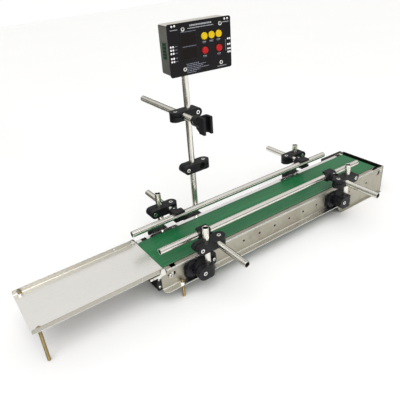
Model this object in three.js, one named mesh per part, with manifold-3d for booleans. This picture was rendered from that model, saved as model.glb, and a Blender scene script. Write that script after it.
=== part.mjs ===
// Tabletop belt conveyor section with adjustable guide rails, an infeed tray, and a
// clamp-on control box. three.js scene graph, millimetres, +Z up.
//
// Working axes: X runs along the belt from the tray end to the drive end, Y runs across the
// belt from the operator side to the far side, Z is up. The working zero is the corner of
// the belt's carrying face at the tray end, operator side. The exported group is shifted so
// that the origin is the centre of the footprint on the floor.
import * as THREE from 'three';
import { mergeVertices, mergeGeometries } from 'three/addons/utils/BufferGeometryUtils.js';
import Module from 'manifold-3d';

const wasm = await Module();
wasm.setup();

// ---------------------------------------------------------------- driving dimensions
const BELT_W = 100;            // belt width
const BELT_T = 2;              // belt thickness
const ROLLER_R = 12.2;         // roller barrel radius
const AXIS_Z = -14.5;          // roller axis below the carrying face
const TAIL_X = 5;              // tail roller axis
const DRIVE_X = 620;           // drive roller axis
const SHAFT_R = 4;             // roller journals
const FLOOR_Z = -73;           // surface the conveyor stands on
const PLATE_Y = -12;           // outer face of the operator side plate
const PLATE_T = 1.5;           // side plate sheet thickness
const PLATE_X0 = -14, PLATE_X1 = 641;
const FLANGE_Z = -41.5;        // underside of the outward bottom flange
const FLANGE_W = 14;           // flange reach beyond the plate
const LIP_END = 604;           // the top lip stops short of the drive axle
const BAY_X = 486;             // start of the deep drive bay
const HOLE_PITCH = 43.2, HOLE_X0 = 141, HOLE_Z = -19, HOLE_R = 2.2;
const TUBE_R = 6.35, TUBE_IN = 5.1, BORE_R = 6.65;  // 12.7 mm tube in its clamps
const POST_OUT = 21.6;         // post axis beyond the side plate face
const RAIL_Z = 34, ROD_Z = 34; // guide rail axis height
const RAIL_F_Y = 3, RAIL_B_Y = 87.2;
const CLAMP_W = 25, CLAMP_H = 19, CLAMP_PITCH = 18; // cross clamp: width, height, bore spacing
const TRAY_X0 = -251, TRAY_X1 = -3.5, TRAY_Y0 = -12.5, TRAY_Y1 = 107;
const TRAY_TOP = -1, TRAY_T = 1.2, TRAY_LIP = 8;
const STUD_R = 3, STUD_BORE = 3.3;
const MAST = { x: 166, y: 133.6, z0: -37, z1: 393 };
const BOX_YAW = -5.7 * Math.PI / 180;
const PANEL = { w: 128, h: 90, t: 2, cx: 12.5, cz: 356.7, y: -48.6 };
const ORIGIN = { x: (TRAY_X0 + 643.3) / 2, y: 0, z: FLOOR_Z }; // y is set from the rods below
const ROD_F_END = -128, MAST_ROD_END = 287;
ORIGIN.y = (ROD_F_END + MAST_ROD_END) / 2;

// ---------------------------------------------------------------- solid helpers
const Q = new THREE.Matrix4();
function clean(geometry) {
  const g = geometry.index ? geometry.toNonIndexed() : geometry;
  g.deleteAttribute('normal'); g.deleteAttribute('uv'); g.clearGroups?.();
  return mergeVertices(g, 1e-4);
}
function solid(geometry) {
  const g = clean(geometry);
  return new wasm.Manifold(new wasm.Mesh({
    numProp: 3,
    vertProperties: new Float32Array(g.attributes.position.array),
    triVerts: new Uint32Array(g.index.array),
  }));
}
function toGeometry(m) {
  const mesh = m.getMesh();
  const g = new THREE.BufferGeometry();
  g.setAttribute('position', new THREE.BufferAttribute(new Float32Array(mesh.vertProperties), 3));
  g.setIndex(new THREE.BufferAttribute(new Uint32Array(mesh.triVerts), 1));
  return g;
}
const add = (...s) => s.reduce((a, b) => a.add(b));
const cut = (a, ...s) => s.reduce((x, b) => x.subtract(b), a);

function box(x0, x1, y0, y1, z0, z1) {
  const [ax, bx] = [Math.min(x0, x1), Math.max(x0, x1)];
  const [ay, by] = [Math.min(y0, y1), Math.max(y0, y1)];
  const [az, bz] = [Math.min(z0, z1), Math.max(z0, z1)];
  const g = new THREE.BoxGeometry(bx - ax, by - ay, bz - az);
  g.translate((ax + bx) / 2, (ay + by) / 2, (az + bz) / 2);
  return solid(g);
}
// cylinder along an axis from a to b, centred on the two other coordinates (in XYZ order)
function cyl(axis, a, b, p, q, r, n = 16) {
  const [lo, hi] = [Math.min(a, b), Math.max(a, b)];
  const g = new THREE.CylinderGeometry(r, r, hi - lo, n);
  const mid = (lo + hi) / 2;
  if (axis === 'z') { g.rotateX(Math.PI / 2); g.translate(p, q, mid); }
  if (axis === 'y') { g.translate(p, mid, q); }
  if (axis === 'x') { g.rotateZ(Math.PI / 2); g.translate(mid, p, q); }
  return solid(g);
}
function tube(axis, a, b, p, q, r = TUBE_R, ri = TUBE_IN, n = 16) {
  return cut(cyl(axis, a, b, p, q, r, n), cyl(axis, a - 1, b + 1, p, q, ri, n));
}
// outline in the XZ plane pushed from y0 to y1
function plateXZ(points, y0, y1) {
  const shape = new THREE.Shape(points.map(([x, z]) => new THREE.Vector2(x, z)));
  const [lo, hi] = [Math.min(y0, y1), Math.max(y0, y1)];
  const g = new THREE.ExtrudeGeometry(shape, { depth: hi - lo, bevelEnabled: false });
  g.rotateX(Math.PI / 2);          // (x, y, z) -> (x, -z, y)
  g.translate(0, hi, 0);
  return solid(g);
}
// outline in the XY plane pushed from z0 to z1
function plateXY(points, z0, z1) {
  const shape = new THREE.Shape(points.map(([x, y]) => new THREE.Vector2(x, y)));
  const g = new THREE.ExtrudeGeometry(shape, { depth: z1 - z0, bevelEnabled: false });
  g.translate(0, 0, z0);
  return solid(g);
}
const slotY = (x0, x1, z, r, y0, y1) => add(
  box(x0, x1, y0, y1, z - r, z + r), cyl('y', y0, y1, x0, z, r, 10), cyl('y', y0, y1, x1, z, r, 10));
const hex = (x, y, z0, z1, r) => cyl('z', z0, z1, x, y, r, 6);
// closed loop of belt around two equal pulleys in the XZ plane
function beltLoop(xa, za, xb, zb, r, t, y0, y1, n = 14) {
  const ang = Math.atan2(zb - za, xb - xa);
  const ring = (R) => {
    const pts = [];
    for (let i = 0; i <= n; i++) {
      const a = ang - Math.PI / 2 + Math.PI * i / n;
      pts.push([xb + R * Math.cos(a), zb + R * Math.sin(a)]);
    }
    for (let i = 0; i <= n; i++) {
      const a = ang + Math.PI / 2 + Math.PI * i / n;
      pts.push([xa + R * Math.cos(a), za + R * Math.sin(a)]);
    }
    return pts;
  };
  return cut(plateXZ(ring(r + t), y0, y1), plateXZ(ring(r), y0 - 1, y1 + 1));
}

// ---------------------------------------------------------------- scene graph
const root = new THREE.Group();
const looks = {
  stainless: { color: 0xb9b7ac, roughness: 0.32, metalness: 1.0 },
  polished: { color: 0xd6d4cc, roughness: 0.16, metalness: 1.0 },
  belt: { color: 0x2f7f4b, roughness: 0.38, metalness: 0.0 },
  nylon: { color: 0x1b1d22, roughness: 0.52, metalness: 0.0 },
  black_steel: { color: 0x25241f, roughness: 0.45, metalness: 0.6 },
  zinc: { color: 0xa98a4a, roughness: 0.4, metalness: 1.0 },
  motor: { color: 0x8f9094, roughness: 0.4, metalness: 0.9 },
  rubber: { color: 0x17171a, roughness: 0.8, metalness: 0.0 },
  enclosure: { color: 0x8c8d88, roughness: 0.45, metalness: 0.8 },
  panel: { color: 0x17171c, roughness: 0.35, metalness: 0.0 },
  yellow: { color: 0xf2c800, roughness: 0.35, metalness: 0.0 },
  red: { color: 0xc8141c, roughness: 0.35, metalness: 0.0 },
  terminal: { color: 0x1f7a3a, roughness: 0.5, metalness: 0.0 },
};
function part(name, s, look, parent = root) {
  const mesh = new THREE.Mesh(toGeometry(s), new THREE.MeshStandardMaterial(looks[look]));
  mesh.name = name;
  parent.add(mesh);
  return mesh;
}
const far = (y) => BELT_W - y;            // mirror across the belt's centre line

// ---------------------------------------------------------------- conveyor frame
function sidePlate(back) {
  const Y = back ? far : (y) => y;
  const o = PLATE_Y, i = PLATE_Y + PLATE_T, lip = -1.5;
  let s = plateXZ([
    [PLATE_X0, -5], [-1, -5], [-1, -1], [PLATE_X1, -1], [PLATE_X1, FLOOR_Z],
    [BAY_X, FLOOR_Z], [BAY_X - 16, FLANGE_Z], [PLATE_X0, FLANGE_Z],
  ], Y(o), Y(i));
  // top lip turned in over the slider bed, bottom flange turned out, foot lip of the drive bay
  s = add(s, box(-1, LIP_END, Y(o), Y(lip), -2.5, -1));
  const f0 = o - FLANGE_W, r = 8, pts = [];
  for (let k = 0; k <= 5; k++) {
    const a = Math.PI + (Math.PI / 2) * k / 5;
    pts.push([PLATE_X0 + r + r * Math.cos(a), Y(f0 + r + r * Math.sin(a))]);
  }
  pts.push([BAY_X - 20, Y(f0)], [BAY_X - 16, Y(f0 + 4)], [BAY_X - 16, Y(i)], [PLATE_X0, Y(i)]);
  if (back) pts.reverse();
  s = add(s, plateXY(pts, FLANGE_Z, FLANGE_Z + PLATE_T));
  s = add(s, box(BAY_X, PLATE_X1, Y(o - 4), Y(i), FLOOR_Z, FLOOR_Z + PLATE_T));
  // weld nut for the levelling stud
  s = add(s, hex(26, Y(-19), FLANGE_Z + 1, FLANGE_Z + 6, 5.8));
  s = cut(s, cyl('z', FLANGE_Z - 2, FLANGE_Z + 8, 26, Y(-19), STUD_BORE, 12),
    cyl('z', FLANGE_Z - 2, FLANGE_Z + 4, 113, Y(-19), HOLE_R, 8));
  // hole row, bay holes, shaft slots, lip notch over the tail axle
  for (let k = 0; k < 7; k++) s = cut(s, cyl('y', Y(o - 2), Y(i + 2), HOLE_X0 + k * HOLE_PITCH, HOLE_Z, HOLE_R, 8));
  s = cut(s, cyl('y', Y(o - 2), Y(i + 2), 536, -27, HOLE_R, 8),
    cyl('y', Y(o - 2), Y(i + 2), 579, -27, HOLE_R, 8),
    cyl('y', Y(o - 2), Y(i + 2), 516, -27, 1.3, 8),
    slotY(TAIL_X - 1, TAIL_X + 8, AXIS_Z, SHAFT_R + 0.6, Y(o - 2), Y(i + 2)),
    slotY(DRIVE_X - 1, DRIVE_X + 5, AXIS_Z, SHAFT_R + 0.6, Y(o - 2), Y(i + 2)),
    box(9.5, 21.5, Y(-10.2), Y(0), -4, 0));
  if (back) s = cut(s, cyl('y', Y(o - 2), Y(i + 2), 590, -50, 7, 12));
  // shouldered clamp bolt beside the drive axle
  return add(s, cyl('y', Y(back ? -13.2 : -15.2), Y(-2), 631, -7.5, 4, 12));
}
part('side_plate_front', sidePlate(false), 'stainless');
part('side_plate_back', sidePlate(true), 'stainless');

const inY0 = PLATE_Y + PLATE_T + 0.3, inY1 = far(inY0);
part('slider_bed', box(24, 598, inY0, inY1, -4.3, -2.8), 'stainless');
part('cross_tie', tube('y', inY0, inY1, 300, -15.5, 5, 3.6, 12), 'stainless');

// tail bracket: black end cap with side returns, two arms that carry the tray, pivot screws
{
  let s = add(
    box(-22, -20.5, -10.2, 110.2, -41, -7),
    box(-22, -6, -10.2, -8.7, -41, -7), box(-22, -6, 108.7, 110.2, -41, -7));
  for (const z of [-15, -32]) {
    s = add(s, cyl('y', -12.6, -9.5, -18, z, 2.8, 8), cyl('y', 112.6, 109.5, -18, z, 2.8, 8));
  }
  const arm = (yo, yi, yr, yh0, yh1) => {
    let a = add(box(-38, -5, yo, yi, -6.5, -3),
      box(-22, -15, yo, yr, -9.5, -5.5),
      box(-15, -5, yo, yi, -3.5, 5), cyl('y', yo, yi, -10, 3, 5, 12),
      cyl('y', (yo + yi) / 2, yh1, -10, 3, 2.2, 10), cyl('y', yh0, yh1, -10, 3, 3.6, 10));
    return a;
  };
  s = add(s, arm(-15.3, -12.8, -9, -10.9, -8.6), arm(109.8, 107.3, 109.5, 105.4, 103.1));
  part('tail_bracket', s, 'black_steel');
}
part('drive_end_plate', box(641.3, 643.3, -12, 112, FLOOR_Z, -1), 'black_steel');
{
  let s = cut(box(566, 641, 112.3, 122.6, -71, -2.1), box(567.5, 639.5, 110, 121.3, -69.5, -3.3));
  part('drive_guard', s, 'black_steel');
}

// ---------------------------------------------------------------- belt, rollers, drive
part('conveyor_belt', beltLoop(TAIL_X, AXIS_Z, DRIVE_X, AXIS_Z, 12.5, BELT_T, 0, BELT_W, 12), 'belt');
function roller(x, yEnd0, yEnd1) {
  const R = ROLLER_R, r = SHAFT_R;
  const prof = [[0, yEnd0], [r - 0.5, yEnd0], [r, yEnd0 + 0.5], [r, 1], [R - 0.4, 1], [R, 30], [R, 70],
    [R - 0.4, 99], [r, 99], [r, yEnd1 - 0.5], [r - 0.5, yEnd1], [0, yEnd1]];
  const g = new THREE.LatheGeometry(prof.map(([a, b]) => new THREE.Vector2(a, b)), 20);
  g.translate(x, 0, AXIS_Z);
  return solid(g);
}
part('drive_roller', roller(DRIVE_X, -11, 120.8), 'polished');
part('tail_roller', roller(TAIL_X, -16, 116), 'polished');
function bearingBlock(x, back, hw = 9) {
  const Y = back ? far : (y) => y;
  return cut(box(x - hw, x + hw, Y(-10.2), Y(-3), AXIS_Z - 9, AXIS_Z + 9),
    cyl('y', Y(-12), Y(0), x, AXIS_Z, SHAFT_R + 0.3, 14));
}
part('drive_bearing_front', bearingBlock(DRIVE_X, false, 6.5), 'polished');
part('drive_bearing_back', bearingBlock(DRIVE_X, true, 6.5), 'polished');
part('tail_block_front', bearingBlock(TAIL_X, false), 'polished');
part('tail_block_back', bearingBlock(TAIL_X, true), 'polished');
{
  let s = add(cyl('y', 36, 84, 590, -50, 17.5, 20), cyl('y', 83, 110.2, 590, -50, 18.5, 20),
    cyl('y', 110, 113, 590, -50, 6, 12), cyl('y', 33, 37, 590, -50, 5, 10));
  s = cut(s, cyl('y', 103, 115, 590, -50, 3.4, 12));
  part('gearmotor', s, 'motor');
}
part('motor_pulley', add(cyl('y', 104, 120.6, 590, -50, 3, 12), cyl('y', 113.6, 114.4, 590, -50, 9.4, 16),
  cyl('y', 114.2, 119.8, 590, -50, 8, 16), cyl('y', 119.6, 120.4, 590, -50, 9.4, 16)), 'polished');
part('drive_pulley', cut(add(cyl('y', 113.6, 114.4, DRIVE_X, AXIS_Z, 9.4, 16),
  cyl('y', 114.2, 119.8, DRIVE_X, AXIS_Z, 8, 16), cyl('y', 119.6, 120.4, DRIVE_X, AXIS_Z, 9.4, 16)),
  cyl('y', 112, 128, DRIVE_X, AXIS_Z, SHAFT_R + 0.3, 14)), 'polished');
part('timing_belt', beltLoop(590, -50, DRIVE_X, AXIS_Z, 8.3, 1.4, 114.7, 119.3, 9), 'rubber');

// ---------------------------------------------------------------- tray on its legs
{
  const zb = TRAY_TOP - TRAY_T;
  let s = add(box(TRAY_X0, TRAY_X1, TRAY_Y0, TRAY_Y1, zb, TRAY_TOP),
    box(TRAY_X0, -4.5, TRAY_Y0, TRAY_Y0 + TRAY_T, zb, TRAY_LIP),
    box(TRAY_X0, -4.5, TRAY_Y1 - TRAY_T, TRAY_Y1, zb, TRAY_LIP),
    hex(-239, -5.8, TRAY_TOP - 0.2, TRAY_TOP + 3.6, 5.2), hex(-239, 100.5, TRAY_TOP - 0.2, TRAY_TOP + 3.6, 5.2));
  s = cut(s, cyl('z', zb - 1, 6, -239, -5.8, STUD_BORE, 12), cyl('z', zb - 1, 6, -239, 100.5, STUD_BORE, 12),
    cyl('y', TRAY_Y0 - 1, TRAY_Y0 + 2, -10, 3, 2.6, 10), cyl('y', TRAY_Y1 - 2, TRAY_Y1 + 1, -10, 3, 2.6, 10),
    cyl('y', TRAY_Y1 - 2, TRAY_Y1 + 1, -51, 3.6, 1.8, 8), cyl('y', TRAY_Y0 - 1, TRAY_Y0 + 2, -51, 3.6, 1.8, 8));
  part('tray', s, 'stainless');
}
part('tray_leg_front', cyl('z', FLOOR_Z, 4.4, -239, -5.8, STUD_R, 12), 'zinc');
part('tray_leg_back', cyl('z', FLOOR_Z, 4.4, -239, 100.5, STUD_R, 12), 'zinc');
part('levelling_stud_front', cyl('z', FLOOR_Z, -32, 26, -19, STUD_R, 12), 'zinc');
part('levelling_stud_back', cyl('z', FLOOR_Z, -32, 26, 119, STUD_R, 12), 'zinc');

// ---------------------------------------------------------------- post brackets
function bracket(x, back) {
  const Y = back ? far : (y) => y;
  const yp = PLATE_Y - 0.3, yc = PLATE_Y - POST_OUT, xl = x - 15, zl = -20.5;
  // base plate with clipped corners, screwed on through the big ear and the small ear
  let s = add(
    plateXZ([[x - 42, -12], [x - 36, -6], [x + 26, -6], [x + 32, -12], [x + 32, -32], [x + 26, -38],
      [x - 36, -38], [x - 42, -32]].reverse(), Y(yp), Y(yp - 4)),
    cyl('y', Y(yp), Y(yp - 9.7), x - 25.6, -21, 16, 20),
    cyl('y', Y(yp), Y(yp - 6), x + 25.6, -23, 6, 12),
    box(xl, x + 12, Y(yp - 1), Y(yc), -35, -6.5));
  // barrel round the post and the round clamping lobe beside it
  s = add(s, cyl('z', -35, -6.5, x, Y(yc), 13, 20),
    box(xl, x, Y(yc - 13), Y(yc + 13), -35, -6), cyl('y', Y(yc - 13), Y(yc + 13), xl, zl, 14.5, 20));
  return cut(s, cyl('z', -40, 0, x, Y(yc), BORE_R),
    box(x - 40, x, Y(yc) - 0.8, Y(yc) + 0.8, -40, 0));
}
const POSTS = [
  ['fl', 77, false, 71], ['fr', 470, false, 67], ['bl', 75, true, 73], ['br', 476, true, 62]];
for (const [k, x, back, top] of POSTS) {
  const y = back ? far(PLATE_Y - POST_OUT) : PLATE_Y - POST_OUT;
  part(`bracket_${k}`, bracket(x, back), 'nylon');
  part(`post_${k}`, tube('z', -37, top, x, y), 'polished');
}
part('bracket_mast', bracket(MAST.x, true), 'nylon');
part('mast', tube('z', MAST.z0, MAST.z1, MAST.x, MAST.y), 'polished');

// ---------------------------------------------------------------- cross clamps
// Vertical bore on the post, horizontal bore (along Y) CLAMP_PITCH away in direction d.
// Each end is round about its own clamp screw.
function crossClamp(xp, y, z, d) {
  const hw = CLAMP_W / 2, hh = CLAMP_H / 2, xr = xp + d * CLAMP_PITCH;
  const xl = xp - d * 17, xe = xr + d * 11, zc = z - 1.5;
  let s = add(box(xl, xe, y - hw, y + hw, zc - hh, zc + hh),
    cyl('y', y - hw, y + hw, xl, zc, hh, 20), cyl('z', zc - hh, zc + hh, xe, y, hw, 20));
  return cut(s, cyl('z', z - 15, z + 15, xp, y, BORE_R), cyl('y', y - 15, y + 15, xr, z, BORE_R),
    box(xp - d * 40, xp, y - 0.8, y + 0.8, z - 16, z + 14),
    box(xr, xr + d * 40, y - 15, y + 15, z - 0.8, z + 0.8));
}
const yF = PLATE_Y - POST_OUT, yB = far(yF);
part('clamp_fl', crossClamp(77, yF, ROD_Z, 1), 'nylon');
part('clamp_fr', crossClamp(470, yF, ROD_Z, -1), 'nylon');
part('clamp_bl', crossClamp(75, yB, ROD_Z, 1), 'nylon');
part('clamp_br', crossClamp(476, yB, ROD_Z, -1), 'nylon');
const ROD_X = { fl: 77 + CLAMP_PITCH, fr: 470 - CLAMP_PITCH, bl: 75 + CLAMP_PITCH, br: 476 - CLAMP_PITCH };

// ---------------------------------------------------------------- rods, rail jaws, rails
// The jaw grips the rail in a U-shaped channel; its boss takes the end of the rod.
function jaw(x, yr, z, s, vertical, L = 12, reach = 20.5) {
  const H = 10.5;
  const a = vertical ? H : L, b = vertical ? L : H;
  const yb = yr - s * reach, yk = yr - s * 10, ym = yr + s * 8;
  let g = add(box(x - a, x + a, yk, ym, z - b, z + b), cyl('y', yb, yk + s, x, z, 10.5, 18));
  const ch = vertical
    ? add(cyl('z', z - 20, z + 20, x, yr, BORE_R), box(x - 5.7, x + 5.7, yr, ym + s, z - 20, z + 20))
    : add(cyl('x', x - 20, x + 20, yr, z, BORE_R), box(x - 20, x + 20, yr, ym + s, z - 5.7, z + 5.7));
  g = cut(g, ch, cyl('y', yb - s, yr - s * 10.2, x, z, BORE_R));
  return g;
}
part('rod_fl', tube('y', ROD_F_END, RAIL_F_Y - 10.6, ROD_X.fl, ROD_Z), 'polished');
part('rod_fr', tube('y', ROD_F_END, RAIL_F_Y - 10.6, ROD_X.fr, ROD_Z), 'polished');
part('rod_bl', tube('y', RAIL_B_Y + 10.6, 218, ROD_X.bl, ROD_Z), 'polished');
part('rod_br', tube('y', RAIL_B_Y + 10.6, 213, ROD_X.br, ROD_Z), 'polished');
part('jaw_fl', jaw(ROD_X.fl, RAIL_F_Y, RAIL_Z, 1, false), 'nylon');
part('jaw_fr', jaw(ROD_X.fr, RAIL_F_Y, RAIL_Z, 1, false), 'nylon');
part('jaw_bl', jaw(ROD_X.bl, RAIL_B_Y, RAIL_Z, -1, false), 'nylon');
part('jaw_br', jaw(ROD_X.br, RAIL_B_Y, RAIL_Z, -1, false), 'nylon');
part('rail_front', tube('x', -3, 551, RAIL_F_Y, RAIL_Z), 'polished');
part('rail_back', tube('x', -16, 530, RAIL_B_Y, RAIL_Z), 'polished');

// ---------------------------------------------------------------- mast fittings
const UP_Z = 226, LOW_Z = 106, MROD_X = MAST.x - CLAMP_PITCH, MJAW_Y = 47;
part('mast_clamp_upper', crossClamp(MAST.x, MAST.y, UP_Z, -1), 'nylon');
part('mast_clamp_lower', crossClamp(MAST.x, MAST.y, LOW_Z, 1), 'nylon');
part('mast_rod', tube('y', MJAW_Y + 10.6, MAST_ROD_END, MROD_X, UP_Z), 'polished');
part('mast_jaw', jaw(MROD_X, MJAW_Y, UP_Z, -1, true, 16.5, 35), 'nylon');

// ---------------------------------------------------------------- control box
const boxGroup = new THREE.Group();
boxGroup.position.set(MAST.x, MAST.y, 0);
boxGroup.rotation.z = BOX_YAW;
root.add(boxGroup);
const P = PANEL, px0 = P.cx - P.w / 2, px1 = P.cx + P.w / 2, pz0 = P.cz - P.h / 2, pz1 = P.cz + P.h / 2;
const BUTTONS = [
  ['button_yellow_1', 7.8, 17.6, 'yellow'], ['button_yellow_2', 22.6, 17.6, 'yellow'], ['button_yellow_3', 37.4, 17.6, 'yellow'],
  ['button_red_1', 7.8, -7, 'red'], ['button_red_2', 37.4, -7, 'red']];
{
  const r = 4, pts = [];
  for (const [cx, cz, a0] of [[px1 - r, pz1 - r, 0], [px0 + r, pz1 - r, 1], [px0 + r, pz0 + r, 2], [px1 - r, pz0 + r, 3]]) {
    for (let k = 0; k <= 4; k++) {
      const a = (a0 + k / 4) * Math.PI / 2;
      pts.push([cx + r * Math.cos(a), cz + r * Math.sin(a)]);
    }
  }
  let s = plateXZ(pts, P.y, P.y + P.t);
  for (const [, u, v] of BUTTONS) s = cut(s, cyl('y', P.y - 1, P.y + P.t + 1, P.cx + u, P.cz + v, 7.3, 16));
  part('box_panel', s, 'panel', boxGroup);
}
{
  const y0 = P.y + P.t + 0.3, y1 = -9.5, w = 2;
  const bx0 = px0 + 2, bx1 = px1 - 2, bz0 = pz0 + 2, bz1 = pz1 - 2;
  let s = cut(box(bx0, bx1, y0, y1, bz0, bz1), box(bx0 + w, bx1 - w, y0 - 1, y1 - w, bz0 + w, bz1 - w),
    box(bx0 - 1, bx0 + w + 1, -33, -21, P.cz - 15.5, P.cz + 13.5));
  part('box_body', s, 'enclosure', boxGroup);
  part('terminal_block', box(bx0 - 1.2, bx0 + 9, -32.6, -21.4, P.cz - 15.1, P.cz + 13.1), 'terminal', boxGroup);
}
part('box_mount', cut(add(box(-12, 12, -9.2, 2, P.cz - 14, P.cz + 12), cyl('z', P.cz - 14, P.cz + 12, 0, 0, 12.5, 20)),
  box(-20, 20, -20, -9.2, P.cz - 20, P.cz + 20),
  cyl('z', P.cz - 20, P.cz + 20, 0, 0, BORE_R), box(-0.8, 0.8, 0, 20, P.cz - 20, P.cz + 20)), 'nylon', boxGroup);
for (const [name, u, v, look] of BUTTONS) {
  part(name, cyl('y', P.y - 3.4, P.y + 3.2, P.cx + u, P.cz + v, 6.9, 16), look, boxGroup);
}

const scene = new THREE.Group();
root.position.set(-ORIGIN.x, -ORIGIN.y, -ORIGIN.z);
scene.add(root);
scene.updateMatrixWorld(true);
export default scene;
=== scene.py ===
import math, random
import bpy, bmesh
from mathutils import Matrix, Vector


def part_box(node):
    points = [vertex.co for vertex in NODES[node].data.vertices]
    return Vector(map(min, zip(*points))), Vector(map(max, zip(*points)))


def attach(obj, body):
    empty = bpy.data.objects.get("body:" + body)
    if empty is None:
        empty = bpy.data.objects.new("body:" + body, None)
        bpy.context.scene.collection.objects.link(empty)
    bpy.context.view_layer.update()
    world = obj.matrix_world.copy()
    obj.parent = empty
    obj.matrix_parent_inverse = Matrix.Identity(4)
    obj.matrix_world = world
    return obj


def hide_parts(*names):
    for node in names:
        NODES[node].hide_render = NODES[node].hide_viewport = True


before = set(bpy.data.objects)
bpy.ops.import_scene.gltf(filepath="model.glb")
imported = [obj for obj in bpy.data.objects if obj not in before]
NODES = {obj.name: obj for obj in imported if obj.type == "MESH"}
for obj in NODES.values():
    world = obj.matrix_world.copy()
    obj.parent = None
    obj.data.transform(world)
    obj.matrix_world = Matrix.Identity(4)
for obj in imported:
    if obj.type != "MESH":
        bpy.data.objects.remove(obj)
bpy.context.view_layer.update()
RNG = random.Random(7)

# Working zero: carrying face of the belt, tray end, operator side. Working units are millimetres.
_lo, _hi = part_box("conveyor_belt")
ORG = Vector((_lo.x + 0.0095, _lo.y, _hi.z))
TO_ROW = Matrix.Translation(ORG) @ Matrix.Scale(0.001, 4)
def W(x, y, z):
    return TO_ROW @ Vector((x, y, z))
def wbox(node):
    a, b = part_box(node)
    return (a - ORG) * 1000, (b - ORG) * 1000
MIR = Matrix.Translation((0, 100, 0)) @ Matrix.Scale(-1, 4, (0, 1, 0))      # across the belt's centre line

# ------------------------------------------------------------------ materials
def new_mat(name):
    m = bpy.data.materials.new(name)
    m.use_nodes = True
    nt = m.node_tree
    b = nt.nodes["Principled BSDF"]
    tc = nt.nodes.new("ShaderNodeTexCoord")
    return m, nt, b, tc.outputs["Object"]
def noise(nt, co, scale, detail=3.0, rough=0.55, dist=0.0):
    mp = nt.nodes.new("ShaderNodeMapping")
    mp.inputs["Scale"].default_value = scale if isinstance(scale, tuple) else (scale,) * 3
    nt.links.new(co, mp.inputs["Vector"])
    n = nt.nodes.new("ShaderNodeTexNoise")
    n.inputs["Scale"].default_value = 1.0
    n.inputs["Detail"].default_value = detail
    n.inputs["Roughness"].default_value = rough
    n.inputs["Distortion"].default_value = dist
    nt.links.new(mp.outputs["Vector"], n.inputs["Vector"])
    return n.outputs["Fac"]
def ramp(nt, fac, stops, interp="LINEAR"):
    r = nt.nodes.new("ShaderNodeValToRGB")
    r.color_ramp.interpolation = interp
    el = r.color_ramp.elements
    while len(el) < len(stops):
        el.new(0.5)
    for e, (p, c) in zip(el, stops):
        e.position = p
        e.color = (*c, 1.0) if isinstance(c, tuple) else (c, c, c, 1.0)
    nt.links.new(fac, r.inputs["Fac"])
    return r.outputs["Color"]
def mixc(nt, fac, a, b, mode="MIX"):
    m = nt.nodes.new("ShaderNodeMix")
    m.data_type = "RGBA"; m.blend_type = mode
    if isinstance(fac, float): m.inputs[0].default_value = fac
    else: nt.links.new(fac, m.inputs[0])
    for s, i in ((a, 6), (b, 7)):
        if isinstance(s, tuple): m.inputs[i].default_value = (*s, 1.0)
        else: nt.links.new(s, m.inputs[i])
    return m.outputs[2]
def maprange(nt, fac, a, b):
    m = nt.nodes.new("ShaderNodeMapRange")
    m.inputs["To Min"].default_value = a
    m.inputs["To Max"].default_value = b
    m.inputs["From Min"].default_value = 0.25
    m.inputs["From Max"].default_value = 0.75
    nt.links.new(fac, m.inputs["Value"])
    return m.outputs["Result"]
def bump(nt, b, height, dist, strength=1.0, also=None):
    n = nt.nodes.new("ShaderNodeBump")
    n.inputs["Distance"].default_value = dist
    n.inputs["Strength"].default_value = strength
    nt.links.new(height, n.inputs["Height"])
    if also is not None: nt.links.new(also, n.inputs["Normal"])
    nt.links.new(n.outputs["Normal"], b.inputs["Normal"])
    return n.outputs["Normal"]

def metal(name, dark, light, rough, grain=(30, 2200, 2200), cloud=14.0, grain_bump=0.000012, tint=None, stain=None):
    m, nt, b, co = new_mat(name)
    g = noise(nt, co, grain, 2.0, 0.6)
    c = noise(nt, co, cloud, 4.0, 0.6, 0.4)
    fine = noise(nt, co, 900.0, 2.0)
    base = mixc(nt, c, dark, light)
    base = mixc(nt, 0.22, base, ramp(nt, g, [(0.3, dark), (0.7, light)]))
    if stain:
        s = ramp(nt, noise(nt, co, stain[1], 5.0, 0.65, 0.8), [(0.52, 0.0), (0.78, 1.0)])
        base = mixc(nt, s, base, stain[0])
    nt.links.new(base, b.inputs["Base Color"])
    b.inputs["Metallic"].default_value = 1.0
    if tint: b.inputs["Specular Tint"].default_value = (*tint, 1.0)
    r = nt.nodes.new("ShaderNodeMath"); r.operation = "ADD"
    nt.links.new(maprange(nt, g, rough[0], rough[1]), r.inputs[0])
    nt.links.new(maprange(nt, fine, -0.02, 0.03), r.inputs[1])
    nt.links.new(r.outputs[0], b.inputs["Roughness"])
    n1 = bump(nt, b, g, grain_bump)
    bump(nt, b, noise(nt, co, 60.0, 2.0), 0.00004, 0.5, n1)
    return m

def plastic(name, dark, light, rough, micro=3500.0, micro_h=0.00003, cloud=25.0, coat=0.0, wear=None, spec=0.5):
    m, nt, b, co = new_mat(name)
    c = noise(nt, co, cloud, 4.0, 0.6)
    f = noise(nt, co, micro, 2.0)
    base = mixc(nt, c, dark, light)
    if wear:
        wn = ramp(nt, noise(nt, co, 160.0, 6.0, 0.7, 1.0), [(0.60, 0.0), (0.70, 1.0)])
        base = mixc(nt, wn, base, wear)
    nt.links.new(base, b.inputs["Base Color"])
    nt.links.new(maprange(nt, noise(nt, co, 70.0, 3.0), rough[0], rough[1]), b.inputs["Roughness"])
    b.inputs["Coat Weight"].default_value = coat
    b.inputs["Specular IOR Level"].default_value = spec
    b.inputs["Coat Roughness"].default_value = 0.12
    bump(nt, b, f, micro_h)
    return m

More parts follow.
